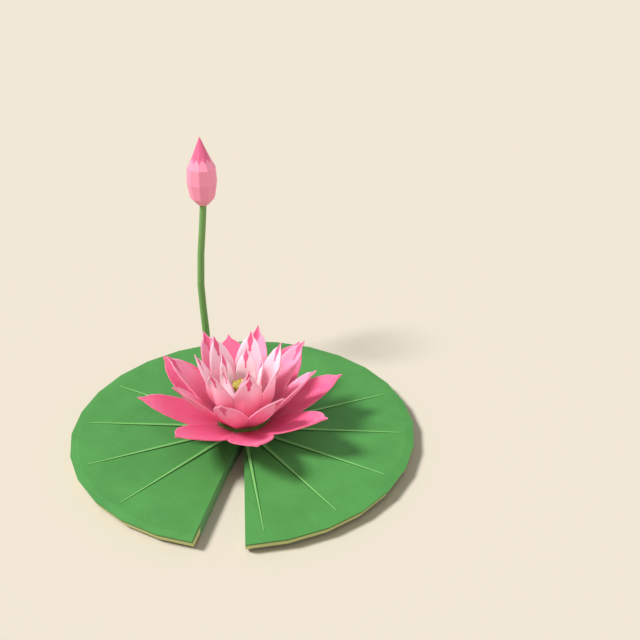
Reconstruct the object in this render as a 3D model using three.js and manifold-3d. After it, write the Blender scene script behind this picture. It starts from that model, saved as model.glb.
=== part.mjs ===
// A water lily: one open flower and one bud, both standing on a notched floating leaf.
// Millimetres, +Z up. The origin lies on the leaf's flat underside, at the middle of the leaf.
// Heights of the flower and the bud are measured from the leaf's upper face.

import * as THREE from 'three';
import { mergeVertices } from 'three/addons/utils/BufferGeometryUtils.js';
import Module from 'manifold-3d';

// ---------------------------------------------------------------- driving dimensions

const GAP = 0.3; // clearance between two pieces that touch in nature

// Colour and roughness of each kind of piece.
const LEAF_GREEN = { color: 0x4f9a4b, roughness: 0.6 };
const RECEPTACLE_GREEN = { color: 0x3f6a2c, roughness: 0.6 };
const OUTER_PINK = { color: 0xdf3f6e, roughness: 0.55 };
const MIDDLE_PINK = { color: 0xf07a9c, roughness: 0.55 };
const CUP_PINK = { color: 0xf8a9bf, roughness: 0.55 };
const INNER_PINK = { color: 0xfbc3d2, roughness: 0.55 };
const PISTIL_OLIVE = { color: 0xb9b24a, roughness: 0.6 };
const STAMEN_YELLOW = { color: 0xd8c44a, roughness: 0.6 };
const STEM_GREEN = { color: 0x5d8f3f, roughness: 0.6 };
const BUD_PINK = { color: 0xf08cab, roughness: 0.55 };

// Leaf: a thick pad with straight rim stretches, an undercut rim and one deep notch.
const LEAF_HALF_SPAN = 130; // from the middle to the rim, along X and along Y
const LEAF_TOP = 10.4; // height of the upper face
const RIM_STRETCHES = 27; // straight stretches of the rim, from one notch corner to the other
const RIM_START = -85.9; // degrees, the right-hand notch corner
const RIM_STEP = 12.8; // degrees from one rim corner to the next
const RIM_END = 258.4; // degrees, the left-hand notch corner, where the last stretch is cut short
const NOTCH_BEND = { radius: 45.5, azimuth: 258.8 }; // where the left notch edge bends
const NOTCH_APEX = { x: 0.7, y: -8.8 }; // innermost point of the notch
const LEAF_LAYERS = [
  { height: 0, rim: 0.91 }, // flat underside, on which the leaf rests
  { height: 3.1, rim: 0.977 }, // lower edge of the rim wall
  { height: 9.6, rim: 1 }, // widest line of the rim
  { height: LEAF_TOP, rim: 0.955 }, // edge of the flat upper face
];

// Veins: ridges that run out from the middle of the leaf.
const VEIN_COUNT = 13;
const VEIN_START = -79.9; // degrees
const VEIN_STEP = 25.66; // degrees
const VEIN_ROOT_RADIUS = 18; // distance of the vein's inner end from the middle
const VEIN_TIP_RADIUS = 119;
const SHORT_VEIN = { number: 5, tipRadius: 96 }; // one vein, counted from 0, ends early
const VEIN_ROOT_HALF_WIDTH = 2.1;
const VEIN_TIP_HALF_WIDTH = 0.5;
const VEIN_SIDES = 6;

// Receptacle: the green bowl under the petals, with a boss that carries the inner rings.
// Each point is [radius, height].
const RECEPTACLE_SIDES = 24;
const RECEPTACLE_PROFILE = [
  [0, GAP], [10, GAP], [15.5, 2.4], [18.6, 6], [19.4, 9.6], [19.3, 13.1], [18, 12.5],
  [14.2, 9.3], [10.2, 6.2], [8.9, 6.4], [7.3, 8.3], [4.3, 12.2], [3.4, 12.8], [0, 12.8],
];

// Petals: every blade has the same outline, scaled to the ring's half width. Low down, where a
// blade would be wider than its share of the ring, it meets its neighbours edge to edge.
// Each pair is [fraction of the rib's length, fraction of the half width].
const BLADE_OUTLINE = [
  [0, 0.38], [0.14, 0.7], [0.42, 1], [0.57, 0.94], [0.72, 0.78], [0.84, 0.52],
  [0.905, 0.26], [0.93, 0.14], [1, 0.03],
];
const BLADE_COLUMNS = 4; // cells across a blade
const PETAL_THICKNESS = 0.9;
const SEAM_HALF_GAP = 0.6 * GAP; // from a blade's edge to the line where it meets its neighbour
const CURL_RISE = 1.2; // above 1, the edges curl most in the upper half of the blade
const FOLD_START = 0.5; // fraction of the rib's length above which the midrib is pressed inwards

// Each ring: how many petals, the azimuth of the first rib in degrees, the half width of a blade,
// how far its edges curl inwards, how far its midrib is pressed inwards below the tip, and the rib
// as [radius, height] from base to tip.
const PETAL_RINGS = {
  outer: {
    count: 8, azimuth: 11.7, halfWidth: 17.2, curl: 1, fold: 0,
    rib: [[20, 11], [30, 14.2], [48, 22.3], [64, 32.3], [70, 35.8], [76.1, 39.3]],
    finish: OUTER_PINK,
  },
  middle: {
    count: 8, azimuth: 34.7, halfWidth: 13.6, curl: 3.4, fold: 0,
    rib: [[10.6, 7.6], [20, 15.4], [31, 26], [43, 41], [50, 51], [55.8, 58.7]],
    finish: MIDDLE_PINK,
  },
  cup: {
    count: 7, azimuth: 182.4, halfWidth: 13.4, curl: 3.2, fold: 3.2,
    rib: [[7.75, 8.5], [14, 15.5], [22.4, 29], [26.6, 40], [29.8, 50], [31.8, 60], [32.6, 66.8]],
    finish: CUP_PINK,
  },
  inner: {
    count: 5, azimuth: 150.6, halfWidth: 8.8, curl: 0.5, fold: 3,
    rib: [[4.9, 12.3], [9, 20], [13, 32], [15, 44], [15.8, 54], [16, 61.6]],
    finish: INNER_PINK,
  },
};

// Pistil: an upturned cone with a flat disc on top. Each point is [radius, height].
const PISTIL_SIDES = 12;
const PISTIL_PROFILE = [
  [0, 13.1], [3, 13.1], [3.6, 18], [5.2, 30], [6.8, 38], [6.6, 40], [5.4, 40.6], [0, 40.2],
];

// Stamens: slender threads with a thicker head, in a ring round the pistil.
const STAMEN_COUNT = 12;
const STAMEN_SIDES = 6;
const STAMEN_FOOT = { radius: 4.75, height: 20 };
const STAMEN_LEAN = 13; // degrees outwards from upright
const STAMEN_LENGTH = 20;
// Each pair is [radius, fraction of the length].
const STAMEN_PROFILE = [[0, 0], [0.45, 0], [0.4, 0.6], [0.95, 0.72], [0.85, 0.93], [0, 1]];

// Bud: a closed, ten-sided flower bud on a slender stem that leans a little.
const BUD_SIDES = 10;
const BUD_FIRST_CORNER = -94; // degrees
const BUD_FOOT = { x: -33.1, y: 105, height: 137.9 };
// Each point is [radius, height above the foot of the bud].
const BUD_PROFILE = [[0, 0], [3.4, 0], [9.1, 6.3], [11.9, 17], [11.4, 28.2], [7.9, 38], [0, 57.3]];
const STEM_RADIUS = 2.9;
const STEM_SIDES = 10;
const STEM_STEPS = 7;
// Each point is [x, height]; the stem stays in one upright plane at the y of the bud.
const STEM_ROUTE = [
  [-36.6, 0.5], [-37.1, 24], [-38.2, 46], [-38.9, 68], [-37.3, 96.5], [-34.8, 120.7],
  [BUD_FOOT.x, BUD_FOOT.height - 2 * GAP],
];

// ---------------------------------------------------------------- helpers

const wasm = await Module();
wasm.setup();

const radians = THREE.MathUtils.degToRad;

function solidOf(geometry) {
  const bare = geometry.clone();
  bare.deleteAttribute('normal');
  bare.deleteAttribute('uv');
  const welded = mergeVertices(bare, 1e-4);
  return new wasm.Manifold(new wasm.Mesh({
    numProp: 3,
    vertProperties: new Float32Array(welded.attributes.position.array),
    triVerts: new Uint32Array(welded.index.array),
  }));
}

function geometryOf(solid) {
  const mesh = solid.getMesh();
  const geometry = new THREE.BufferGeometry();
  geometry.setAttribute('position', new THREE.BufferAttribute(mesh.vertProperties, 3));
  geometry.setIndex(new THREE.BufferAttribute(mesh.triVerts, 1));
  geometry.computeVertexNormals();
  return geometry;
}

// Moves every vertex of a geometry to where the function puts it.
function reshape(geometry, place) {
  const position = geometry.attributes.position;
  const point = new THREE.Vector3();
  for (let i = 0; i < position.count; i += 1) {
    point.fromBufferAttribute(position, i);
    place(point);
    position.setXYZ(i, point.x, point.y, point.z);
  }
  geometry.computeVertexNormals();
  return geometry;
}

// A turned solid with its axis on Z, from a profile of [radius, height] pairs.
function turned(profile, sides, startAngle = 0) {
  const points = profile.map(([radius, height]) => new THREE.Vector2(radius, height));
  const geometry = new THREE.LatheGeometry(points, sides, startAngle);
  return geometry.rotateX(Math.PI / 2);
}

function piece(name, geometry, finish) {
  const material = new THREE.MeshStandardMaterial({ ...finish, metalness: 0 });
  const mesh = new THREE.Mesh(geometry, material);
  mesh.name = name;
  return mesh;
}

// ---------------------------------------------------------------- leaf

// Rim corners close to the X and Y axes are pushed out until the leaf fills its square exactly.
function rimRadius(azimuth) {
  const reach = Math.max(Math.abs(Math.cos(azimuth)), Math.abs(Math.sin(azimuth)));
  const nearAxis = Math.acos(reach) < radians(RIM_STEP) / 2;
  return nearAxis ? LEAF_HALF_SPAN / reach : LEAF_HALF_SPAN;
}

function leafOutline() {
  const outline = new THREE.Shape();
  for (let corner = 0; corner <= RIM_STRETCHES; corner += 1) {
    const azimuth = radians(Math.min(RIM_START + RIM_STEP * corner, RIM_END));
    const radius = rimRadius(azimuth);
    const x = radius * Math.cos(azimuth);
    const y = radius * Math.sin(azimuth);
    if (corner === 0) outline.moveTo(x, y);
    else outline.lineTo(x, y);
  }
  const bend = radians(NOTCH_BEND.azimuth);
  outline.lineTo(NOTCH_BEND.radius * Math.cos(bend), NOTCH_BEND.radius * Math.sin(bend));
  outline.lineTo(NOTCH_APEX.x, NOTCH_APEX.y);
  outline.closePath();
  return outline;
}

// The outline is drawn up in three steps. Each layer then gets its own height and rim size, while
// the notch walls stay upright.
function leafBlade() {
  const steps = LEAF_LAYERS.length - 1;
  const blade = new THREE.ExtrudeGeometry(leafOutline(), { depth: steps, steps, bevelEnabled: false });
  return reshape(blade, (point) => {
    const layer = LEAF_LAYERS[Math.round(point.z)];
    const onRim = Math.hypot(point.x, point.y) > (NOTCH_BEND.radius + LEAF_HALF_SPAN) / 2;
    const scale = onRim ? layer.rim : 1;
    point.set(point.x * scale, point.y * scale, layer.height);
  });
}

// A vein is a tapered six-sided rod, half sunk in the upper face with a crest on top.
function vein(number) {
  const tipRadius = number === SHORT_VEIN.number ? SHORT_VEIN.tipRadius : VEIN_TIP_RADIUS;
  const length = tipRadius - VEIN_ROOT_RADIUS;
  const rod = new THREE.CylinderGeometry(VEIN_TIP_HALF_WIDTH, VEIN_ROOT_HALF_WIDTH, length, VEIN_SIDES);
  rod.rotateZ(-Math.PI / 2);
  rod.translate(VEIN_ROOT_RADIUS + length / 2, 0, LEAF_TOP);
  return rod.rotateZ(radians(VEIN_START + VEIN_STEP * number));
}

function leaf() {
  let solid = solidOf(leafBlade());
  for (let i = 0; i < VEIN_COUNT; i += 1) solid = solid.add(solidOf(vein(i)));
  return piece('leaf', geometryOf(solid), LEAF_GREEN);
}

// ---------------------------------------------------------------- flower

// A blade starts as a flat block of cells. Its rows go to the outline's stations along the rib, its
// columns spread over the ring's bowl, its edges curl inwards, and below the tip so does its midrib.
function petalBlade(ring) {
  const rows = BLADE_OUTLINE.length - 1;
  const rib = new THREE.SplineCurve(ring.rib.map(([radius, height]) => new THREE.Vector2(radius, height)));
  const share = Math.PI / ring.count;
  const block = new THREE.BoxGeometry(2, rows, PETAL_THICKNESS, BLADE_COLUMNS, rows, 1);
  return reshape(block, (point) => {
    const [along, widthShare] = BLADE_OUTLINE[Math.round(point.y + rows / 2)];
    const onRib = rib.getPointAt(along);
    const tangent = rib.getTangentAt(along);
    const curlHere = ring.curl * Math.sin(Math.PI * along ** CURL_RISE);
    const foldHere = ring.fold * Math.sin((Math.PI * Math.max(along - FOLD_START, 0)) / (1 - FOLD_START));
    const bow = (curlHere * (1 - Math.cos(Math.PI * point.x))) / 2 + foldHere * (1 - point.x ** 2);
    const inwards = bow - point.z;
    const radius = onRib.x - tangent.y * inwards;
    const height = onRib.y + tangent.x * inwards;
    const room = share - SEAM_HALF_GAP / radius;
    const azimuth = point.x * Math.min((ring.halfWidth * widthShare) / onRib.x, room);
    point.set(radius * Math.cos(azimuth), radius * Math.sin(azimuth), height);
  });
}

function petalRing(name, ring) {
  const petals = new THREE.Group();
  for (let i = 0; i < ring.count; i += 1) {
    const petal = piece(`petal_${name}_${i + 1}`, petalBlade(ring), ring.finish);
    petal.rotation.z = radians(ring.azimuth + (360 / ring.count) * i);
    petals.add(petal);
  }
  return petals;
}

function stamenRing() {
  const stamens = new THREE.Group();
  for (let i = 0; i < STAMEN_COUNT; i += 1) {
    const profile = STAMEN_PROFILE.map(([radius, share]) => [radius, share * STAMEN_LENGTH]);
    const stamen = piece(`stamen_${i + 1}`, turned(profile, STAMEN_SIDES), STAMEN_YELLOW);
    stamen.position.set(STAMEN_FOOT.radius, 0, STAMEN_FOOT.height);
    stamen.rotation.y = radians(STAMEN_LEAN);
    const spoke = new THREE.Group();
    spoke.rotation.z = (2 * Math.PI * (i + 0.5)) / STAMEN_COUNT;
    spoke.add(stamen);
    stamens.add(spoke);
  }
  return stamens;
}

function flower() {
  const group = new THREE.Group();
  group.position.z = LEAF_TOP;
  group.add(piece('receptacle', turned(RECEPTACLE_PROFILE, RECEPTACLE_SIDES), RECEPTACLE_GREEN));
  for (const [name, ring] of Object.entries(PETAL_RINGS)) group.add(petalRing(name, ring));
  group.add(piece('pistil', turned(PISTIL_PROFILE, PISTIL_SIDES), PISTIL_OLIVE));
  group.add(stamenRing());
  return group;
}

// ---------------------------------------------------------------- bud

function stemSection() {
  const section = new THREE.Shape();
  section.absarc(0, 0, STEM_RADIUS, 0, 2 * Math.PI);
  return new THREE.Shape(section.getSpacedPoints(STEM_SIDES).slice(0, STEM_SIDES));
}

function budStem() {
  const route = STEM_ROUTE.map(([x, height]) => new THREE.Vector3(x, BUD_FOOT.y, height));
  const path = new THREE.CatmullRomCurve3(route);
  const options = { steps: STEM_STEPS, extrudePath: path, bevelEnabled: false };
  return piece('bud_stem', new THREE.ExtrudeGeometry(stemSection(), options), STEM_GREEN);
}

function bud() {
  const startAngle = radians(BUD_FIRST_CORNER + 90);
  const mesh = piece('bud', turned(BUD_PROFILE, BUD_SIDES, startAngle), BUD_PINK);
  mesh.position.set(BUD_FOOT.x, BUD_FOOT.y, BUD_FOOT.height);
  return mesh;
}

function budOnStem() {
  const group = new THREE.Group();
  group.position.z = LEAF_TOP;
  group.add(budStem(), bud());
  return group;
}

// ---------------------------------------------------------------- whole plant

const waterLily = new THREE.Group();
waterLily.add(leaf(), flower(), budOnStem());

export default waterLily;
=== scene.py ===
# %% [markdown]
# # A water lily on its leaf
# The imported model is loaded first and stays as it is: it says where every piece of the plant is and how
# large it is. Blender then gives each piece a finer mesh and a living surface in the same place.
# The box of the model as loaded is kept and its size is printed.

# %% Load the frame
from math import cos, pi, radians, sin, tau

import bmesh
import bpy
import numpy as np
from mathutils import Matrix, Vector


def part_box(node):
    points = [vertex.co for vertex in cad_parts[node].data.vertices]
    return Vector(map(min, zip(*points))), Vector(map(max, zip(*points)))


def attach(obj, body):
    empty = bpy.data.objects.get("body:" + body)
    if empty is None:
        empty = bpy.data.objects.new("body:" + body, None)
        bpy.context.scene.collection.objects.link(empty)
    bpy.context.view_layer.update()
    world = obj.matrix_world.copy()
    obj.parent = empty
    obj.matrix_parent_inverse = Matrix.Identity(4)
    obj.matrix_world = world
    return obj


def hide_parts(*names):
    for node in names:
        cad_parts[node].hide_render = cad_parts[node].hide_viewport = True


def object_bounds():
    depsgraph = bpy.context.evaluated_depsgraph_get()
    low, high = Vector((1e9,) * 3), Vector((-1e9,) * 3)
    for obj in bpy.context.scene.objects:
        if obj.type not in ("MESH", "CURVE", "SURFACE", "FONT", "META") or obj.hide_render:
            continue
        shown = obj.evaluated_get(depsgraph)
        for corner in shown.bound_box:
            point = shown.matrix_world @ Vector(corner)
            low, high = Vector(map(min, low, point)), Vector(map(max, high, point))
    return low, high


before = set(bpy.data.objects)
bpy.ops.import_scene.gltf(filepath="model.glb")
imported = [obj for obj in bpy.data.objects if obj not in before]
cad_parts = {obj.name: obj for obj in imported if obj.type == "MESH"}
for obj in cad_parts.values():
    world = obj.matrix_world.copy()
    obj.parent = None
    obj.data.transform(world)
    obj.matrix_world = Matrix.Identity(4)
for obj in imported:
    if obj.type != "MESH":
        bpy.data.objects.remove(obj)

CAD_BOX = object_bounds()
box_size = [round(side * 1000, 1) for side in CAD_BOX[1] - CAD_BOX[0]]
print(f"{len(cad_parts)} pieces, box {box_size} mm")

# %% [markdown]
# ## Measures
# A grower thinks in millimetres and Blender works in metres, so sizes are written in millimetres and
# turned into metres where a mesh is made. The leaf's box gives the size of everything that lies on it.

# %% Measures
MM = 0.001
SAME_POINT = 0.001  # points of a mesh that lie closer than this are merged
LEAF_HALF_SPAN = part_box("leaf")[1].x / MM
LEAF_TOP = 10.4  # height of the leaf's upper face
GROUND = Vector((0, 0, LEAF_TOP))  # where the flower's axis meets the upper face
print(f"leaf {2 * LEAF_HALF_SPAN:.0f} mm across, its upper face {LEAF_TOP} mm up")


# %% [markdown]
# ## Turning a mesh into a piece of the plant
# Each piece is modelled in a bmesh, which is Blender's mesh workbench. When it is ready, its faces are
# turned outwards and it becomes an object that rides on the plant's body, stands for the nodes of the
# imported model that it replaces, and takes its finish.
# Petals and stems are smooth with crisp rims, so edges sharper than a chosen angle stay sharp. The leaf
# and the bud have flat facets, so nearly every edge of theirs stays sharp.

# %% Finish a piece
PLANT = bpy.data.collections.new("plant")  # what the fill light reaches
FACETED = 5  # degrees: the sharp angle of a faceted piece


def as_object(name, work):
    """Turn a bmesh into an object of the scene, with its faces turned outwards."""
    bmesh.ops.recalc_face_normals(work, faces=work.faces)
    mesh = bpy.data.meshes.new(name)
    work.to_mesh(mesh)
    work.free()
    made = bpy.data.objects.new(name, mesh)
    bpy.context.scene.collection.objects.link(made)
    return made


def smooth_object(name, work, material):
    """A smooth object with its finish, from a bmesh in millimetres."""
    bmesh.ops.scale(work, vec=Vector((MM, MM, MM)), verts=work.verts)
    made = as_object(name, work)
    made.data.materials.append(material)
    made.data.shade_smooth()
    return made


def piece(name, work, material, nodes, sharp_angle=30):
    made = smooth_object(name, work, material)
    made.data.set_sharp_from_angle(angle=radians(sharp_angle))
    PLANT.objects.link(made)
    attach(made, "root")
    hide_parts(*nodes)
    return made


def triangles(made):
    made.data.calc_loop_triangles()
    return len(made.data.loop_triangles)


# %% [markdown]
# ## A small language for surfaces
# Every finish here is a set of shader nodes. Written out node by node they are hard to read, so a wire
# from a node is wrapped in a class that knows arithmetic: `1 - mask` adds the Math node that does it.

# %% Wires
class Wire:
    """The output of a shader node. Arithmetic on it adds Math nodes."""

    def __init__(self, recipe, socket):
        self.recipe = recipe
        self.socket = socket

    def maths(self, operation, *numbers):
        return self.recipe.node("ShaderNodeMath", {"operation": operation}, dict(enumerate(numbers)))

    def __add__(self, other):
        return self.maths("ADD", self, other)

    def __radd__(self, other):
        return self.maths("ADD", other, self)

    def __sub__(self, other):
        return self.maths("SUBTRACT", self, other)

    def __rsub__(self, other):
        return self.maths("SUBTRACT", other, self)

    def __mul__(self, other):
        return self.maths("MULTIPLY", self, other)

    def __rmul__(self, other):
        return self.maths("MULTIPLY", other, self)

    def __truediv__(self, other):
        return self.maths("DIVIDE", self, other)

    def __rtruediv__(self, other):
        return self.maths("DIVIDE", other, self)

    def __abs__(self):
        return self.maths("ABSOLUTE", self)


# %% [markdown]
# ## Recipes
# A recipe holds the nodes of one material. Its one method for nodes takes the node's type, its settings
# and the values of its sockets, and the other methods are short names for what most finishes need.
# Colours are mixed by Mix nodes, because a Math node would turn them grey.

# %% Recipes
class Recipe:
    """One material, built from the surface up to its finished shader."""

    def __init__(self, name):
        self.material = bpy.data.materials.new(name)
        self.material.use_nodes = True
        self.tree = self.material.node_tree
        self.shader = self.tree.nodes["Principled BSDF"]

    def connect(self, socket, value):
        if isinstance(value, Wire):
            self.tree.links.new(value.socket, socket)
        else:
            socket.default_value = value

    def node(self, kind, settings=None, sockets=None, output=0):
        made = self.tree.nodes.new(kind)
        for setting, value in (settings or {}).items():
            if setting == "stops":
                self.set_stops(made.color_ramp, value)
            else:
                setattr(made, setting, value)
        for socket, value in (sockets or {}).items():
            self.connect(made.inputs[socket], value)
        return Wire(self, made.outputs[output])

    def set_stops(self, ramp, stops):
        while len(ramp.elements) < len(stops):
            ramp.elements.new(1.0)
        for element, (place, color) in zip(ramp.elements, stops):
            element.position = place
            element.color = color

    def mix(self, share, first, second):
        settings = {"data_type": "RGBA", "clamp_factor": True}
        return self.node("ShaderNodeMix", settings, {0: share, 6: first, 7: second}, output=2)

    def step(self, value, start, end):
        """0 before start, 1 past end, smooth between them. A start above the end steps downwards."""
        settings = {"interpolation_type": "SMOOTHSTEP"}
        return self.node("ShaderNodeMapRange", settings, {0: value, 1: start, 2: end})

    def place(self):
        """Where a point is on the plant, in millimetres."""
        where = self.node("ShaderNodeTexCoord", output="Object")
        settings = {"operation": "SCALE"}
        return self.node("ShaderNodeVectorMath", settings, {0: where, "Scale": 1 / MM})

    def axes(self, vector):
        split = self.node("ShaderNodeSeparateXYZ", sockets={0: vector}).socket.node
        return [Wire(self, output) for output in split.outputs]

    def spot(self, first, second, third=0.0):
        """Three measures as one place, where a texture can be looked up."""
        return self.node("ShaderNodeCombineXYZ", sockets={0: first, 1: second, 2: third})

    def measure(self, name):
        """A number that the piece's mesh carries at each point."""
        return self.node("ShaderNodeAttribute", {"attribute_name": name}, output="Fac")

    def noise(self, vector, scale, detail=3.0):
        sockets = {"Vector": vector, "Scale": scale, "Detail": detail}
        return self.node("ShaderNodeTexNoise", sockets=sockets)

    def finish(self, color, roughness, height, depth, gloss=0.35):
        """Colour, roughness and a relief of the given depth in millimetres make the surface."""
        sockets = {"Height": height, "Strength": 1.0, "Distance": depth * MM}
        relief = self.node("ShaderNodeBump", sockets=sockets)
        self.connect(self.shader.inputs["Base Color"], color)
        self.connect(self.shader.inputs["Roughness"], roughness)
        self.connect(self.shader.inputs["Normal"], relief)
        self.shader.inputs["Specular IOR Level"].default_value = gloss
        return self.material


def azimuth_of(x, y):
    """The angle of a point round the axis, in radians."""
    return y.maths("ARCTAN2", y, x)


def paint(red, green, blue):
    """A colour given as it looks on a screen, from 0 to 255, in the linear light that shaders use."""
    shares = [channel / 255 for channel in (red, green, blue)]
    return (*(s / 12.92 if s < 0.04045 else ((s + 0.055) / 1.055) ** 2.4 for s in shares), 1.0)


def grey(level):
    return (level, level, level, 1.0)


# %% [markdown]
# ## Leaf surface
# The upper face is a waxy mid green. The raised veins are told apart by their height above the face:
# their crests are paler than the blade, and their flanks are painted dark as painted shade. The rim
# wall turns from dark green to olive yellow towards the underside, which is bronze, as on a real pad.
# The notch's walls stay green.
# These finishes could be painted on by hand, but the height of a point and its distance from the middle
# already say which part of the leaf it is on, so the shader works them out.
# Each finish gives way to the next inside a narrow band, from the first number of the band to the second.
# Between the thick veins lies a net of fine ones. A cell texture stretched along the radius gives that
# net, and it only tints the leaf a little, so that the pad reads as one clean colour from a distance.

# %% Leaf colours and bands
LEAF_GREEN = paint(76, 144, 71)
LEAF_DEEP_GREEN = paint(70, 135, 64)
VEIN_GREEN = paint(120, 186, 102)
# painted shade: the dark green painted on the flanks of the veins, for the shade beside them
VEIN_FLANK_PAINTED_SHADE = paint(30, 74, 16)
RIM_DARK = paint(64, 108, 50)
RIM_OLIVE = paint(190, 196, 128)
NOTCH_GREEN = paint(100, 150, 94)
UNDERSIDE_BRONZE = paint(126, 110, 72)

VEIN_BAND = (LEAF_TOP + 0.02, LEAF_TOP + 0.12)  # height: the blade gives way to a vein
CREST_BAND = (0.5, 0.62)  # share of a vein's height: its flank gives way to its crest
UPPER_BAND = (9.3, 9.7)  # height: the side gives way to the upper face
OLIVE_BAND = (8.5, 6.8)  # height: dark green gives way to olive
BRONZE_BAND = (3.0, 2.4)  # height: olive gives way to bronze
NOTCH_BRONZE_BAND = (0.2, 0.0)  # height: green gives way to bronze in the notch
NOTCH_WALL_BAND = (112, 113)  # distance from the middle: the notch gives way to the rim
NOISE_BAND = (0.3, 0.7)  # most of a noise lies between these

VEIN_RUN = (18, 119)  # from the inner end to the outer end, in distance from the middle
VEIN_HALF_WIDTH = (2.1, 0.5)  # at the inner end and at the outer end
VEIN_TAPER = (VEIN_HALF_WIDTH[1] - VEIN_HALF_WIDTH[0]) / (VEIN_RUN[1] - VEIN_RUN[0])
NET_ROUND = 9  # cells of the net to a radian round the middle
NET_OUTWARDS = 0.045  # cells of the net to a millimetre outwards
NET_SCALE = 1.6  # makes both finer
NET_LINE = 0.045  # how far a fine vein's tint reaches from the edge of a cell
FINE_VEIN_TINT = 0.06  # share of the veins' green on a fine vein

# %% Leaf surface
def fine_veins(skin, place, azimuth, reach):
    """The net of fine veins: 1 on its lines and 0 between them."""
    warp = skin.noise(place, scale=0.05)
    spot = skin.spot(azimuth * NET_ROUND, reach * NET_OUTWARDS)
    warped = skin.node("ShaderNodeVectorMath", {"operation": "ADD"}, {0: spot, 1: warp})
    cells = {"feature": "DISTANCE_TO_EDGE"}
    net = skin.node("ShaderNodeTexVoronoi", cells, {"Vector": warped, "Scale": NET_SCALE})
    return 1 - skin.step(net, 0.0, NET_LINE)


def leaf_surface():
    skin = Recipe("leaf_green")
    place = skin.place()
    x, y, height = skin.axes(place)
    length = {"operation": "LENGTH"}
    reach = skin.node("ShaderNodeVectorMath", length, {0: skin.spot(x, y)}, output="Value")
    fine_vein = fine_veins(skin, place, azimuth_of(x, y), reach)
    mottle = skin.noise(place, scale=0.035, detail=4.0)
    grain = skin.noise(place, scale=1.4, detail=2.0)

    blade = skin.mix(skin.step(mottle, *NOISE_BAND), LEAF_DEEP_GREEN, LEAF_GREEN)
    blade = skin.mix(fine_vein * FINE_VEIN_TINT, blade, VEIN_GREEN)
    # painted shade: below its crest band a vein is painted dark on both flanks
    crest_height = VEIN_HALF_WIDTH[0] + (reach - VEIN_RUN[0]) * VEIN_TAPER
    crest = skin.step((height - LEAF_TOP) / crest_height, *CREST_BAND)
    vein = skin.mix(crest, VEIN_FLANK_PAINTED_SHADE, VEIN_GREEN)
    upper = skin.mix(skin.step(height, *VEIN_BAND), blade, vein)
    wall = skin.mix(skin.step(height, *OLIVE_BAND), RIM_DARK, RIM_OLIVE)
    rim_side = skin.mix(skin.step(height, *BRONZE_BAND), wall, UNDERSIDE_BRONZE)
    notch_side = skin.mix(skin.step(height, *NOTCH_BRONZE_BAND), NOTCH_GREEN, UNDERSIDE_BRONZE)
    side = skin.mix(skin.step(reach, *NOTCH_WALL_BAND), notch_side, rim_side)
    color = skin.mix(skin.step(height, *UPPER_BAND), side, upper)
    roughness = 0.5 + 0.12 * mottle + 0.06 * grain
    relief = fine_vein * 0.6 + grain * 0.4
    return skin.finish(color, roughness, relief, depth=0.12)


LEAF_SURFACE = leaf_surface()
print(f"leaf surface: {len(LEAF_SURFACE.node_tree.nodes)} nodes")

# %% [markdown]
# ## Leaf blade
# A lily pad is a thick round blade with one deep notch that reaches almost to its middle. It could be a
# cylinder with a wedge cut out, but its rim here runs in straight stretches, so the outline is drawn as
# one flat face and that face is extruded upwards in three steps. After each step the rim is drawn in or
# out, which gives the undercut wall and the sloping band round the upper face. The walls of the notch
# stay upright.

# %% Outline of the leaf
RIM_STRETCHES = 27
RIM_START = -85.9  # azimuth of the right-hand corner of the notch, in degrees
RIM_STEP = 12.8  # degrees from one corner to the next
RIM_END = 258.4  # azimuth of the left-hand corner of the notch, where the last stretch is cut short
NOTCH_BEND = (45.5, 258.8)  # radius and azimuth of the bend in the left edge of the notch
NOTCH_APEX = (0.7, -8.8)  # where the notch ends, just in front of the middle


def around(radius, azimuth, height=0.0):
    """A point at that distance from the flower's axis, with the azimuth in degrees."""
    return Vector((radius * cos(radians(azimuth)), radius * sin(radians(azimuth)), height))


def rim_corner(number):
    """A corner of the rim. A corner next to an axis is pushed out, so that the leaf fills its box."""
    corner = around(LEAF_HALF_SPAN, min(RIM_START + RIM_STEP * number, RIM_END))
    reach = max(abs(corner.x), abs(corner.y))
    near_axis = reach > LEAF_HALF_SPAN * cos(radians(RIM_STEP / 2))
    return corner * (LEAF_HALF_SPAN / reach) if near_axis else corner


# %% Leaf blade
LEAF_LAYERS = [(0, 0.91), (3.1, 0.977), (9.6, 1.0), (LEAF_TOP, 0.955)]  # height, size of the rim
RIM_ZONE = (NOTCH_BEND[0] + LEAF_HALF_SPAN) / 2  # corners further out than this are on the rim


def drawn_out(work, end, first):
    """Extrude the end face by one step. The old end stays only where it closes the far side."""
    made = bmesh.ops.extrude_face_region(work, geom=[end])["geom"]
    if not first:
        bmesh.ops.delete(work, geom=[end], context="FACES_ONLY")
    return next(item for item in made if isinstance(item, bmesh.types.BMFace))


def leaf_blade():
    work = bmesh.new()
    corners = [rim_corner(number) for number in range(RIM_STRETCHES + 1)]
    notch = [around(*NOTCH_BEND), Vector((*NOTCH_APEX, 0))]
    top = work.faces.new([work.verts.new(point) for point in corners + notch])
    size = 1.0
    for level, (height, rim) in enumerate(LEAF_LAYERS):
        if level:
            top = drawn_out(work, top, first=level == 1)
        for vert in top.verts:
            if vert.co.xy.length > RIM_ZONE:
                vert.co.xy *= rim / size
            vert.co.z = height
        size = rim
    return work


blade_work = leaf_blade()
print(f"leaf blade: {len(blade_work.faces)} faces")

# %% [markdown]
# ## Veins
# Thirteen ridges run from under the flower towards the rim. Each is a six-sided cone, laid down with a
# crest on top and sunk to its middle in the blade. They could lie there as loose pieces, but veins grow
# out of the blade, so they are joined to it by a boolean union and the leaf stays one closed piece.

# %% Veins
VEIN_COUNT = 13
VEIN_START = -79.9  # azimuth of the first vein, in degrees
VEIN_STEP = 25.66  # degrees from one vein to the next
SHORT_VEIN, SHORT_VEIN_END = 5, 96  # one vein, counted from 0, ends early
VEIN_SIDES = 6


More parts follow.
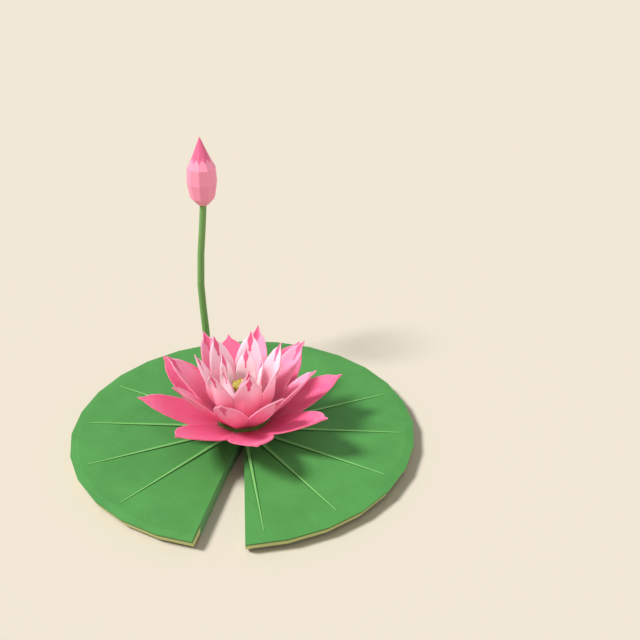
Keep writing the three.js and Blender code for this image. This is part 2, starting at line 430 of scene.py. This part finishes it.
def veins():
    work = bmesh.new()
    for number in range(VEIN_COUNT):
        inner, outer = VEIN_RUN
        if number == SHORT_VEIN:
            outer = SHORT_VEIN_END
        middle = GROUND + Vector(((inner + outer) / 2, 0, 0))
        laid_down = Matrix.Translation(middle) @ Matrix.Rotation(pi / 2, 4, "Y")
        turn = Matrix.Rotation(radians(VEIN_START + VEIN_STEP * number), 4, "Z")
        bmesh.ops.create_cone(
            work, cap_ends=True, segments=VEIN_SIDES, radius1=VEIN_HALF_WIDTH[0],
            radius2=VEIN_HALF_WIDTH[1], depth=outer - inner, matrix=turn @ laid_down,
        )
    return work


vein_work = veins()
print(f"veins: {VEIN_COUNT} ridges, {len(vein_work.faces)} faces")

# %% The whole leaf
def joined(first, second):
    """A bmesh of the union of two closed shapes."""
    body = as_object("union_body", first)
    tool = as_object("union_tool", second)
    union = body.modifiers.new("union", "BOOLEAN")
    union.operation = "UNION"
    union.solver = "EXACT"
    union.object = tool
    work = bmesh.new()
    work.from_object(body, bpy.context.evaluated_depsgraph_get())
    for spare in (body, tool):
        bpy.data.objects.remove(spare)
    return work


leaf_work = joined(blade_work, vein_work)
bmesh.ops.remove_doubles(leaf_work, verts=leaf_work.verts, dist=SAME_POINT)
leaf = piece("lily_pad", leaf_work, LEAF_SURFACE, ["leaf"], sharp_angle=FACETED)
print(f"lily pad: {triangles(leaf)} triangles")

# %% [markdown]
# ## Petal surfaces
# All petals share one recipe. The colour runs from a deeper base to a paler upper blade. The three inner
# rings carry a deep pink mark: it fills the tip, widens like a spade, and ends in a short strip down the
# midrib.
# The mark must follow the blade and not space, so each petal's mesh carries three measures at every
# point: the distance below the tip and the distance from the midrib, both in millimetres, and the place
# along the rib from 0 to 1. Two more measures sit on its faces. One marks the rim, which has a colour of
# its own. The other marks the inner side, which the two rings in the middle paint paler than the outside:
# that is painted light, which brightens the shade inside the cup.
# Fine lines run along the blade, as petals have, and the same lines give the relief. A petal is thin
# enough for light to wander through it, so its whole colour comes from subsurface scattering.

# %% The recipe of a petal
BLADE_MEASURES = ("below_tip", "from_rib", "along")
DEEP_PINK = paint(228, 106, 147)
# painted light: the pale pink that the inner side of the cup is painted towards, to brighten its shade
INSIDE_PAINTED_LIGHT_PINK = paint(255, 214, 224)
LINES_ACROSS = 1.1  # fine lines to a millimetre across the blade
LINES_ALONG = 0.05  # how often a line changes in a millimetre along the blade
LINE_BAND, LINE_SHARE = (0.35, 0.75), 0.5  # part of the noise that deepens the pink, and by how much
MOTTLE_BAND, MOTTLE_SHARE = (0.4, 0.7), 0.3  # the same for the patches
DEEPENED = {"Saturation": 1.12, "Value": 0.93}  # the deeper pink, against the plain one
MARK_REACH = 20.0  # millimetres below the tip that the mark's outline covers
MARK_WIDEST = 3.0  # half width that stands for white in the outline ramp
MARK_EDGE = 0.08  # half the width of the mark's soft edge
SCATTER_COLORS = (0.6, 1.0, 0.9)  # how far red, green and blue light wander, as shares of the depth
SCATTER_DEPTH = 2.5  # millimetres


def spade_mark(skin, outline, below_tip, from_rib):
    """1 inside the mark and 0 outside. The outline gives half widths at distances below the tip."""
    stops = [(distance / MARK_REACH, grey(half / MARK_WIDEST)) for distance, half in outline]
    half_width = skin.node("ShaderNodeValToRGB", {"stops": stops}, {0: below_tip / MARK_REACH})
    return skin.step(half_width * MARK_WIDEST - abs(from_rib), -MARK_EDGE, MARK_EDGE)


def petal_surface(name, blade, rim, mark=None, inside_painted_light=0.0):
    """blade gives colours at shares of the rib. The last argument paints the inner side paler, as painted
    light.
    """
    skin = Recipe(name)
    below_tip, from_rib, along = [skin.measure(measure) for measure in BLADE_MEASURES]
    lines = skin.noise(skin.spot(from_rib * LINES_ACROSS, below_tip * LINES_ALONG), scale=1.0)
    mottle = skin.noise(skin.place(), scale=0.06)

    stops = [(share, paint(*color)) for share, color in blade]
    color = skin.node("ShaderNodeValToRGB", {"stops": stops}, {0: along})
    deeper = skin.node("ShaderNodeHueSaturation", sockets={**DEEPENED, "Color": color})
    lined = skin.step(lines, *LINE_BAND) * LINE_SHARE
    mottled = skin.step(mottle, *MOTTLE_BAND) * MOTTLE_SHARE
    color = skin.mix(lined + mottled, color, deeper)
    if inside_painted_light:
        # painted light: the inner side is painted paler, to brighten the shade inside the cup
        color = skin.mix(skin.measure("inside") * inside_painted_light, color, INSIDE_PAINTED_LIGHT_PINK)
    if mark:
        color = skin.mix(spade_mark(skin, mark, below_tip, from_rib), color, DEEP_PINK)
    color = skin.mix(skin.measure("rim"), color, paint(*rim))
    skin.shader.inputs["Subsurface Weight"].default_value = 1.0
    skin.shader.inputs["Subsurface Radius"].default_value = SCATTER_COLORS
    skin.shader.inputs["Subsurface Scale"].default_value = SCATTER_DEPTH * MM
    return skin.finish(color, 0.46 + 0.16 * lines, lines, depth=0.10, gloss=0.25)


# %% Four petal surfaces
PALE_RIM = (246, 156, 178)
OUTER_SURFACE = petal_surface(
    "outer_petal_pink", rim=(236, 94, 132),
    blade=[(0.0, (206, 86, 116)), (0.3, (226, 104, 144)), (1.0, (250, 124, 160))],
)
MIDDLE_SURFACE = petal_surface(
    "middle_petal_pink", rim=(244, 136, 164),
    blade=[(0.0, (190, 92, 118)), (0.3, (232, 142, 170)), (0.6, (248, 160, 188)), (1.0, (255, 172, 198))],
    mark=[(0, 0.2), (5.5, 2.0), (7.8, 2.6), (9.2, 2.2), (12, 1.0), (17, 0.8), (17.4, 0)],
)
CUP_SURFACE = petal_surface(
    "cup_petal_pink", rim=PALE_RIM, inside_painted_light=0.5,
    blade=[(0.0, (206, 112, 138)), (0.3, (232, 134, 157)), (0.5, (242, 152, 174)),
           (0.7, (255, 200, 212)), (1.0, (255, 214, 224))],
    mark=[(0, 0.2), (4.2, 1.5), (6.6, 2.5), (8.6, 2.1), (11.5, 1.2), (15.5, 1.1), (15.8, 0)],
)
INNER_SURFACE = petal_surface(
    "inner_petal_pink", rim=PALE_RIM, inside_painted_light=0.3,
    blade=[(0.0, (250, 176, 192)), (0.4, (255, 214, 222)), (1.0, (255, 224, 230))],
    mark=[(0, 0.2), (4.2, 1.3), (6.4, 2.3), (8.2, 1.8), (10.6, 0.8), (15.6, 0.7), (15.9, 0)],
)
print("petal surfaces: outer, middle, cup, inner")

# %% [markdown]
# ## The midrib
# A petal rises from its base and bends outwards along its midrib. The rib could be a chain of straight
# stretches, but then the blade would show a crease at each point. So a smooth curve is drawn through the
# points, and a place on it is given as a share of its length, which keeps a petal's outline the same
# however its rib is bent.

# %% The midrib
RIB_SAMPLES = 24  # points worked out between two given points
RIB_STEP = 0.005  # share of the rib on either side of a place that shows its direction


class Rib:
    """A smooth curve (a Catmull-Rom spline) through (radius, height) points.

    Places on it are shares of its length.
    """

    def __init__(self, points):
        ends = [2 * Vector(points[0]) - Vector(points[1]), 2 * Vector(points[-1]) - Vector(points[-2])]
        knots = [ends[0], *map(Vector, points), ends[1]]
        curve = []
        for before, start, end, after in zip(knots, knots[1:], knots[2:], knots[3:]):
            for sample in range(RIB_SAMPLES):
                t = sample / RIB_SAMPLES
                straight = (end - before) * t / 2
                bend = (before - 2.5 * start + 2 * end - after / 2) * t**2
                swing = (1.5 * start - before / 2 - 1.5 * end + after / 2) * t**3
                curve.append(start + straight + bend + swing)
        curve.append(knots[-2])
        self.radius, self.height = np.array(curve).T
        steps = np.hypot(np.diff(self.radius), np.diff(self.height))
        self.length = steps.sum()
        self.share = np.concatenate([[0], steps.cumsum()]) / self.length

    def at(self, share):
        radius = np.interp(share, self.share, self.radius)
        height = np.interp(share, self.share, self.height)
        return Vector((radius, height))

    def direction(self, share):
        return (self.at(min(share + RIB_STEP, 1)) - self.at(max(share - RIB_STEP, 0))).normalized()


# %% [markdown]
# ## Petal blades
# A petal is a thin blade on a curved midrib, with a drawn-out tip. It could be sculpted once and turned
# round, but the four rings differ in width, rise and curl, so one function bends a flat grid for any
# ring. A grid is the right start: its rows become stations along the rib and its columns spread over the
# bowl that the ring makes together.
# Neighbours meet edge to edge low down, where they form the bowl, and part higher up. The steep petals in
# the middle are pressed inwards along the upper midrib, so they have a fold there.

# %% How a blade bends
ROWS_PER_STRETCH = 4
FOLD_START = 0.5  # share of the rib above which the midrib is pressed inwards


def curl_along(along, delay):
    """How much of the curl a station has: none at the base and the tip, all of it in between."""
    return sin(pi * along**delay) if along < 1 else 0.0


def fold_along(along):
    """How far the midrib is pressed inwards at a station: only in the upper half, and not at the tip."""
    return sin(pi * (along - FOLD_START) / (1 - FOLD_START)) if FOLD_START < along < 1 else 0.0


def even_bow(across):
    """A trough with a crest where neighbours meet."""
    return across**2


def round_bow(across):
    """A trough that levels out at both edges, so that neighbours run into one bowl."""
    return 0.5 - 0.5 * cos(pi * across)


def stations(outline):
    """Shares of the rib and half widths for every row, with straight stretches between outline points."""
    shares, halves = zip(*outline)
    rows = np.arange((len(outline) - 1) * ROWS_PER_STRETCH + 1) / ROWS_PER_STRETCH
    marks = np.arange(len(outline))
    return np.interp(rows, marks, shares), np.interp(rows, marks, halves)


# %% One petal
COLUMNS = 12
PETAL_THICKNESS = 0.9


def bent_blade(ring):
    """A grid bent into the ring's blade, which carries its measures at every point."""
    rib = Rib(ring["rib"])
    shares, halves = stations(ring["outline"])
    rows = len(shares) - 1
    work = bmesh.new()
    bmesh.ops.create_grid(work, x_segments=COLUMNS, y_segments=rows, size=1)
    measures = {name: work.verts.layers.float.new(name) for name in BLADE_MEASURES}
    share_of_ring = pi / ring["count"]
    for vert in work.verts:
        across = vert.co.x
        row = round((vert.co.y + 1) / 2 * rows)
        along, half = shares[row], halves[row]
        on_rib, direction = rib.at(along), rib.direction(along)
        bow = ring["curl"] * curl_along(along, ring["delay"]) * ring["bow"](across)
        fold = ring["fold"] * fold_along(along) * (1 - across**2)
        inwards = bow + fold - PETAL_THICKNESS / 2
        radius = on_rib.x - direction.y * inwards
        height = on_rib.y + direction.x * inwards
        azimuth = across * min(half / on_rib.x, share_of_ring)
        vert.co = Vector((radius * cos(azimuth), radius * sin(azimuth), height))
        vert[measures["below_tip"]] = (1 - along) * rib.length
        vert[measures["from_rib"]] = azimuth * on_rib.x
        vert[measures["along"]] = along
    return work


def thicken(work):
    """Give a blade its thickness, and mark the faces of its rim and of its inner side."""
    bmesh.ops.recalc_face_normals(work, faces=work.faces)
    sheet = set(work.verts)
    bmesh.ops.solidify(work, geom=work.faces[:], thickness=PETAL_THICKNESS)
    on_rim = work.faces.layers.float.new("rim")
    inside = work.faces.layers.float.new("inside")
    for face in work.faces:
        on_sheet = len(sheet.intersection(face.verts))
        face[on_rim] = 0 < on_sheet < len(face.verts)
        face[inside] = on_sheet == len(face.verts)


def on_leaf(work, foot=Vector((0, 0, 0))):
    """Move a shape from the origin to its foot on the leaf's upper face."""
    bmesh.ops.translate(work, vec=foot + GROUND, verts=work.verts)
    return work


def petal(ring, number):
    work = bent_blade(ring)
    thicken(work)
    turn = Matrix.Rotation(radians(ring["azimuth"] + 360 / ring["count"] * number), 3, "Z")
    bmesh.ops.rotate(work, matrix=turn, verts=work.verts)
    return on_leaf(work)


# %% [markdown]
# ## The four rings of petals
# The outer ring lies almost flat and is hot pink. The middle ring rises and curls at its edges. The cup
# is steep and pale, and a small ring of five stands inside it. Each rib is given by a few points, and
# each outline by how far along the rib the blade has which half width. The last two points make the
# drawn-out tip.

# %% Petal rings
# azimuth is where the first petal stands, in degrees. curl is how far the edges of a blade come inwards,
# and a larger delay moves the most curled station towards the tip. fold is how far the upper midrib is
# pressed inwards, and bow is the shape of the trough across the blade.
PETAL_RINGS = {
    "outer": {
        "count": 8, "azimuth": 11.7, "curl": 1.4, "delay": 0.8, "fold": 0, "bow": even_bow,
        "surface": OUTER_SURFACE,
        "rib": [(20, 11), (30, 14.2), (48, 22.3), (64, 32.3), (70, 35.8), (76.1, 39.3)],
        "outline": [(0, 6.5), (0.12, 11.5), (0.43, 17.2), (0.57, 15.8), (0.72, 13.0), (0.84, 8.6),
                    (0.905, 4.4), (0.93, 2.3), (1, 0.2)],
    },
    "middle": {
        "count": 8, "azimuth": 34.7, "curl": 3.4, "delay": 1.2, "fold": 0, "bow": round_bow,
        "surface": MIDDLE_SURFACE,
        "rib": [(10.6, 7.6), (20, 15.4), (31, 26), (43, 41), (50, 51), (55.8, 58.7)],
        "outline": [(0, 3.8), (0.2, 8.0), (0.42, 12.9), (0.5, 13.0), (0.57, 12.2), (0.66, 11.2),
                    (0.75, 9.8), (0.86, 6.6), (0.905, 3.8), (0.925, 2.3), (1, 0.2)],
    },
    "cup": {
        "count": 7, "azimuth": 182.4, "curl": 3.2, "delay": 1.2, "fold": 3.2, "bow": round_bow,
        "surface": CUP_SURFACE,
        "rib": [(7.75, 8.5), (14, 15.5), (22.4, 29), (26.6, 40), (29.8, 50), (31.8, 60), (32.6, 66.8)],
        "outline": [(0, 3.4), (0.2, 6.8), (0.42, 11.0), (0.6, 12.5), (0.68, 11.5), (0.75, 10.0),
                    (0.855, 6.8), (0.905, 4.2), (0.925, 2.4), (1, 0.2)],
    },
    "inner": {
        "count": 5, "azimuth": 150.6, "curl": 0.5, "delay": 1.2, "fold": 3, "bow": round_bow,
        "surface": INNER_SURFACE,
        "rib": [(4.9, 12.3), (9, 20), (13, 32), (15, 44), (15.8, 54), (16, 61.6)],
        "outline": [(0, 3.0), (0.2, 5.5), (0.42, 8.0), (0.6, 8.4), (0.75, 7.0), (0.84, 4.8),
                    (0.875, 3.2), (0.895, 2.2), (1, 0.2)],
    },
}

for ring_name, ring in PETAL_RINGS.items():
    slot = f"petal_{ring_name}"
    for number in range(ring["count"]):
        name = f"{ring_name}_petal_{number + 1}"
        blade = piece(name, petal(ring, number), ring["surface"], [f"{slot}_{number + 1}"])
    print(f"{ring_name} petals: {ring['count']} of {triangles(blade)} triangles")

# %% [markdown]
# ## Receptacle
# Under the petals sits the green end of the flower's stalk, a bowl with a boss in the middle that carries
# the inner rings. It is round, so its profile is spun about the axis. A full spin merges its first and
# last copies, and the two ends of the profile lie on the axis, so their copies are merged as well and the
# shell closes. Its skin is that of a stalk, with long faint fibres that are darker in patches.

# %% Turned pieces
def turned(profile, sides, first_corner=0.0):
    """Spin a profile of (radius, height) points about the axis."""
    work = bmesh.new()
    points = [work.verts.new(around(radius, first_corner, height)) for radius, height in profile]
    edges = [work.edges.new(pair) for pair in zip(points, points[1:])]
    full_turn = {"cent": (0, 0, 0), "axis": (0, 0, 1), "angle": tau, "use_merge": True}
    bmesh.ops.spin(work, geom=points + edges, steps=sides, **full_turn)
    bmesh.ops.remove_doubles(work, verts=work.verts, dist=SAME_POINT)
    return work


# %% Receptacle
FIBRE_STRETCH = 0.08  # a fibre changes this much slower along the stalk than across it
FIBRE_SHARE = 0.6  # of the colour's change, against the patches
RECEPTACLE_SIDES = 48
RECEPTACLE_PROFILE = [
    (0, 0.3), (10, 0.3), (15.5, 2.4), (18.6, 6), (19.4, 9.6), (19.3, 13.1), (18, 12.5),
    (14.2, 9.3), (10.2, 6.2), (8.9, 6.4), (7.3, 8.3), (4.3, 12.2), (3.4, 12.8), (0, 12.8),
]


def stalk_surface(name, light, dark, fibre_scale):
    skin = Recipe(name)
    x, y, height = skin.axes(skin.place())
    fibres = skin.noise(skin.spot(x, y, height * FIBRE_STRETCH), fibre_scale)
    patches = skin.noise(skin.place(), scale=0.07)
    share = skin.step(fibres, *NOISE_BAND) * FIBRE_SHARE + patches * (1 - FIBRE_SHARE)
    return skin.finish(skin.mix(share, dark, light), 0.5 + 0.15 * fibres, fibres, depth=0.12)


RECEPTACLE_SURFACE = stalk_surface("receptacle_green", paint(104, 146, 70), paint(84, 124, 56), 0.9)
receptacle_work = on_leaf(turned(RECEPTACLE_PROFILE, RECEPTACLE_SIDES))
receptacle = piece("flower_base", receptacle_work, RECEPTACLE_SURFACE, ["receptacle"])
print(f"flower base: {triangles(receptacle)} triangles")

# %% [markdown]
# ## Pistil
# In the middle stands the seed vessel, an upturned cone that ends in a flat disc. It is spun from a
# profile, as the receptacle is. Rays run over the disc from its middle. They could be modelled, but they
# are low and soft, so a ripple round the axis colours them and gives their relief.

# %% Pistil
PISTIL_PROFILE = [(0, 13.1), (3, 13.1), (3.6, 18), (5.2, 30), (6.8, 38), (6.6, 40), (5.4, 40.6), (0, 40.2)]
PISTIL_RAYS = 12
PISTIL_SIDES = 4 * PISTIL_RAYS
DISC_BAND = (LEAF_TOP + 39.5, LEAF_TOP + 40.3)  # height: the side gives way to the disc
RAY_BAND = (-0.4, 0.6)  # part of the ripple over which a ray fades in


def pistil_surface():
    skin = Recipe("pistil_olive")
    x, y, height = skin.axes(skin.place())
    azimuth = azimuth_of(x, y)
    rays = azimuth.maths("COSINE", azimuth * PISTIL_RAYS)
    grain = skin.noise(skin.place(), scale=0.8)
    side = skin.mix(grain, paint(170, 160, 70), paint(214, 204, 100))
    disc = skin.mix(skin.step(rays, *RAY_BAND), paint(150, 138, 48), paint(204, 192, 88))
    color = skin.mix(skin.step(height, *DISC_BAND), side, disc)
    return skin.finish(color, 0.55 + 0.1 * grain, rays * 0.5 + grain, depth=0.3)


pistil_work = on_leaf(turned(PISTIL_PROFILE, PISTIL_SIDES))
pistil = piece("seed_vessel", pistil_work, pistil_surface(), ["pistil"])
print(f"seed vessel: {triangles(pistil)} triangles")

# %% [markdown]
# ## Stamens
# A ring of slender threads leans outwards round the seed vessel, each with a thicker head that holds the
# pollen. A thread could be a bent tube with a ball on it, but a spun profile makes both in one closed
# shell. It is spun, tipped and turned into its place twelve times. The head's colour begins at the height
# where the profile widens.

# %% Stamens
STAMEN_COUNT = 12
STAMEN_SIDES = 10
STAMEN_FOOT = Vector((4.75, 0, 20))
STAMEN_LEAN = 13  # degrees outwards
STAMEN_LENGTH = 20
STAMEN_PROFILE = [  # radius, share of the length
    (0, 0), (0.45, 0), (0.4, 0.6), (0.75, 0.66), (0.95, 0.74), (0.85, 0.93), (0.5, 0.985), (0, 1),
]
POLLEN_BAND = (LEAF_TOP + 31.5, LEAF_TOP + 33.5)  # height: the thread gives way to the head


def stamen_surface():
    skin = Recipe("stamen_yellow")
    grain = skin.noise(skin.place(), scale=2.0)
    height = skin.axes(skin.place())[2]
    thread = skin.mix(grain, paint(226, 214, 130), paint(236, 226, 150))
    pollen = skin.mix(grain, paint(214, 190, 74), paint(232, 214, 104))
    color = skin.mix(skin.step(height, *POLLEN_BAND), thread, pollen)
    return skin.finish(color, 0.6 + 0.2 * grain, grain, depth=0.15)


STAMEN_SURFACE = stamen_surface()
for number in range(STAMEN_COUNT):
    profile = [(radius, share * STAMEN_LENGTH) for radius, share in STAMEN_PROFILE]
    stamen_work = turned(profile, STAMEN_SIDES)
    lean = Matrix.Rotation(radians(STAMEN_LEAN), 4, "Y")
    turn = Matrix.Rotation(tau * (number + 0.5) / STAMEN_COUNT, 4, "Z")
    stand = turn @ Matrix.Translation(STAMEN_FOOT + GROUND) @ lean
    bmesh.ops.transform(stamen_work, matrix=stand, verts=stamen_work.verts)
    name = f"pollen_thread_{number + 1}"
    stamen = piece(name, stamen_work, STAMEN_SURFACE, [f"stamen_{number + 1}"])
print(f"pollen threads: {STAMEN_COUNT} of {triangles(stamen)} triangles")

# %% [markdown]
# ## Bud
# The closed bud has ten flat sides, because its petals are folded tight along straight edges. It could be
# a cone and a few rings, but one profile spun in ten steps gives all its facets at once, and they are
# shaded flat. The tip is deeper pink down to a zigzag line that dips at every edge.

# %% Bud
BUD_SIDES = 10
BUD_FIRST_CORNER = -94  # degrees
BUD_FOOT = Vector((-33.1, 105, 137.9))  # from the middle of the leaf's upper face
BUD_PROFILE = [(0, 1.8), (4.4, 1.8), (9.9, 8), (11.9, 20.5), (11.2, 32.5), (7.2, 40), (0, 57.3)]
BUD_TIP_START = 40.6  # height over the bud's foot of the upper points of the zigzag
BUD_ZIGZAG = 3.2  # from the upper points to the lower ones
BUD_LINES = 60  # fine lines round the bud
ZIGZAG_EDGE = 0.15  # half the width of the zigzag's soft edge


def bud_surface():
    skin = Recipe("bud_pink")
    from_foot = {0: skin.place(), 1: BUD_FOOT + GROUND}
    x, y, height = skin.axes(skin.node("ShaderNodeVectorMath", {"operation": "SUBTRACT"}, from_foot))
    turns = azimuth_of(x, y) / tau - BUD_FIRST_CORNER / 360
    from_corner = (turns * BUD_SIDES).maths("PINGPONG", turns * BUD_SIDES, 0.5) * 2
    line = BUD_TIP_START - BUD_ZIGZAG * (1 - from_corner)
    lines = skin.noise(skin.spot(turns * BUD_LINES, height * LINES_ALONG), scale=1.0)
    body = skin.mix(lines, paint(244, 147, 174), paint(250, 155, 182))
    point = skin.mix(lines, paint(226, 102, 140), paint(232, 112, 150))
    color = skin.mix(skin.step(height - line, -ZIGZAG_EDGE, ZIGZAG_EDGE), body, point)
    return skin.finish(color, 0.46 + 0.14 * lines, lines, depth=0.08, gloss=0.25)


bud_work = on_leaf(turned(BUD_PROFILE, BUD_SIDES, BUD_FIRST_CORNER), BUD_FOOT)
bud = piece("closed_bud", bud_work, bud_surface(), ["bud"], sharp_angle=FACETED)
print(f"closed bud: {triangles(bud)} triangles")

# %% [markdown]
# ## Stem of the bud
# The bud stands on a slender stem with slight kinks. It could be a curve with a round section, which would
# need its ends closed afterwards. Here a ten-sided disc is laid at the foot and extruded from one point of
# the route to the next, a little thinner each time, so the stem stays one closed tube. Its ends reach a
# fraction of a millimetre into the leaf and the bud, because it is grown together with both. It has the
# skin of a stalk, as the receptacle has.

# %% Stem
STEM_SIDES = 10
STEM_RADII = (3.1, 2.75)  # at the foot and at the bud
STEM_ROUTE = [  # across, height
    (-36.6, -0.2), (-37.1, 24), (-38.2, 46), (-38.9, 68), (-37.3, 96.5), (-34.8, 120.7), (-33.1, 139.9),
]


def stem():
    work = bmesh.new()
    bmesh.ops.create_circle(work, cap_ends=True, segments=STEM_SIDES, radius=1)
    [end] = work.faces
    rows = len(STEM_ROUTE) - 1
    for row, (x, height) in enumerate(STEM_ROUTE):
        if row:
            end = drawn_out(work, end, first=row == 1)
        radius = STEM_RADII[0] + (STEM_RADII[1] - STEM_RADII[0]) * row / rows
        middle = end.calc_center_median()
        size = (end.verts[0].co - middle).length
        bmesh.ops.translate(work, vec=-middle, verts=end.verts)
        bmesh.ops.scale(work, vec=Vector((1, 1, 1)) * radius / size, verts=end.verts)
        bmesh.ops.translate(work, vec=Vector((x, BUD_FOOT.y, height)) + GROUND, verts=end.verts)
    return work


STEM_SURFACE = stalk_surface("stem_green", paint(124, 168, 96), paint(106, 152, 80), 1.2)
bud_stem = piece("bud_stalk", stem(), STEM_SURFACE, ["bud_stem"], sharp_angle=50)
print(f"bud stalk: {triangles(bud_stem)} triangles")

# %% [markdown]
# ## Floor
# The plant lies on a plain pale floor. A flat square would end in a horizon when it is seen from low
# down, so the floor is a wide disc, flat where the plant lies, that sweeps up gently far away and fills
# the view. Its profile is spun like the round pieces, and its faces are turned upwards.

# %% Floor
FLOOR_COLOR = paint(219, 210, 193)
FLOOR_REACH = (2500, 15000)  # where the floor begins to sweep up, and where it ends
FLOOR_SWEEP_RADIUS = 80000  # a large one sweeps up gently
FLOOR_RINGS = 12
FLOOR_SIDES = 96


def floor_surface():
    card = Recipe("pale_floor")
    grain = card.noise(card.place(), scale=0.2, detail=2.0)
    return card.finish(FLOOR_COLOR, 0.9, grain, depth=0.02, gloss=0.0)


def floor_profile():
    flat_end, end = FLOOR_REACH
    sweep = [(end - flat_end) * ring / FLOOR_RINGS for ring in range(FLOOR_RINGS + 1)]
    return [(0, 0)] + [(flat_end + run, run**2 / (2 * FLOOR_SWEEP_RADIUS)) for run in sweep]


floor = smooth_object("pale_floor", turned(floor_profile(), FLOOR_SIDES), floor_surface())
if floor.data.polygons[0].normal.z < 0:
    floor.data.flip_normals()
print(f"floor: {2 * FLOOR_REACH[1] * MM:.0f} m across, {len(floor.data.polygons)} faces")

# %% [markdown]
# ## Light
# One large soft light comes from the left, and an even light from all round. A lamp near the plant would
# make a bright patch on the floor, so the soft light is a sun with a wide disc: its light is parallel,
# the shadows have soft edges, and the floor is equally bright everywhere.
# A weaker fill light from the right opens the shades between the petals. It is linked to the plant alone,
# so that the shadows on the floor stay as deep as the key light makes them.

# %% Light
BRIGHTNESS = 1.25  # light on the open floor
# azimuth and elevation say where a light comes from, and disc how wide it is, in degrees
KEY_LIGHT = {"azimuth": 193, "elevation": 50, "share": 0.68, "disc": 14.5}
FILL_LIGHT = {"azimuth": -40, "elevation": 45, "share": 0.16, "disc": 80}


def soft_light(name, azimuth, elevation, share, disc, lit=None):
    """A sun with a wide disc that gives a share of the light on the floor, or on what it is linked to."""
    sun = bpy.data.lights.new(name, "SUN")
    sun.angle = radians(disc)
    sun.energy = BRIGHTNESS * share * pi / sin(radians(elevation))
    light = bpy.data.objects.new(name, sun)
    light.light_linking.receiver_collection = lit
    turn = Matrix.Rotation(radians(azimuth + 90), 4, "Z")
    light.matrix_world = turn @ Matrix.Rotation(radians(90 - elevation), 4, "X")
    bpy.context.scene.collection.objects.link(light)
    print(f"{name}: {sun.energy:.2f} W per square metre")


soft_light("key_light", **KEY_LIGHT)
soft_light("fill_light", **FILL_LIGHT, lit=PLANT)

world = bpy.data.worlds.new("soft_room")
world.use_nodes = True
backdrop = world.node_tree.nodes["Background"]
backdrop.inputs["Color"].default_value = grey(1.0)
backdrop.inputs["Strength"].default_value = BRIGHTNESS * (1 - KEY_LIGHT["share"])
bpy.context.scene.world = world
bpy.context.scene.view_settings.view_transform = "Standard"

# %% [markdown]
# ## Camera
# The camera looks down on the leaf from in front. It could be placed by hand, but a place is easier to
# judge as a point on the leaf to aim at, a pitch and a distance, so its place is worked out from those.

# %% Camera
CAMERA_AIM = Vector((58.4, 165.6, LEAF_TOP)) * MM
CAMERA_DISTANCE = 0.9508  # metres
CAMERA_PITCH = 29.85  # degrees below level
CAMERA_LENS = 59.49  # focal length in millimetres
NEAREST_SEEN = 0.01  # metres

lens = bpy.data.cameras.new("camera")
lens.lens = CAMERA_LENS
lens.clip_start = NEAREST_SEEN
camera = bpy.data.objects.new("camera", lens)
camera.rotation_euler = (radians(90 - CAMERA_PITCH), 0, 0)
back = Vector((0, -cos(radians(CAMERA_PITCH)), sin(radians(CAMERA_PITCH))))
camera.location = CAMERA_AIM + back * CAMERA_DISTANCE
bpy.context.scene.collection.objects.link(camera)
bpy.context.scene.camera = camera
print(f"camera at {[round(value, 4) for value in camera.location]}")
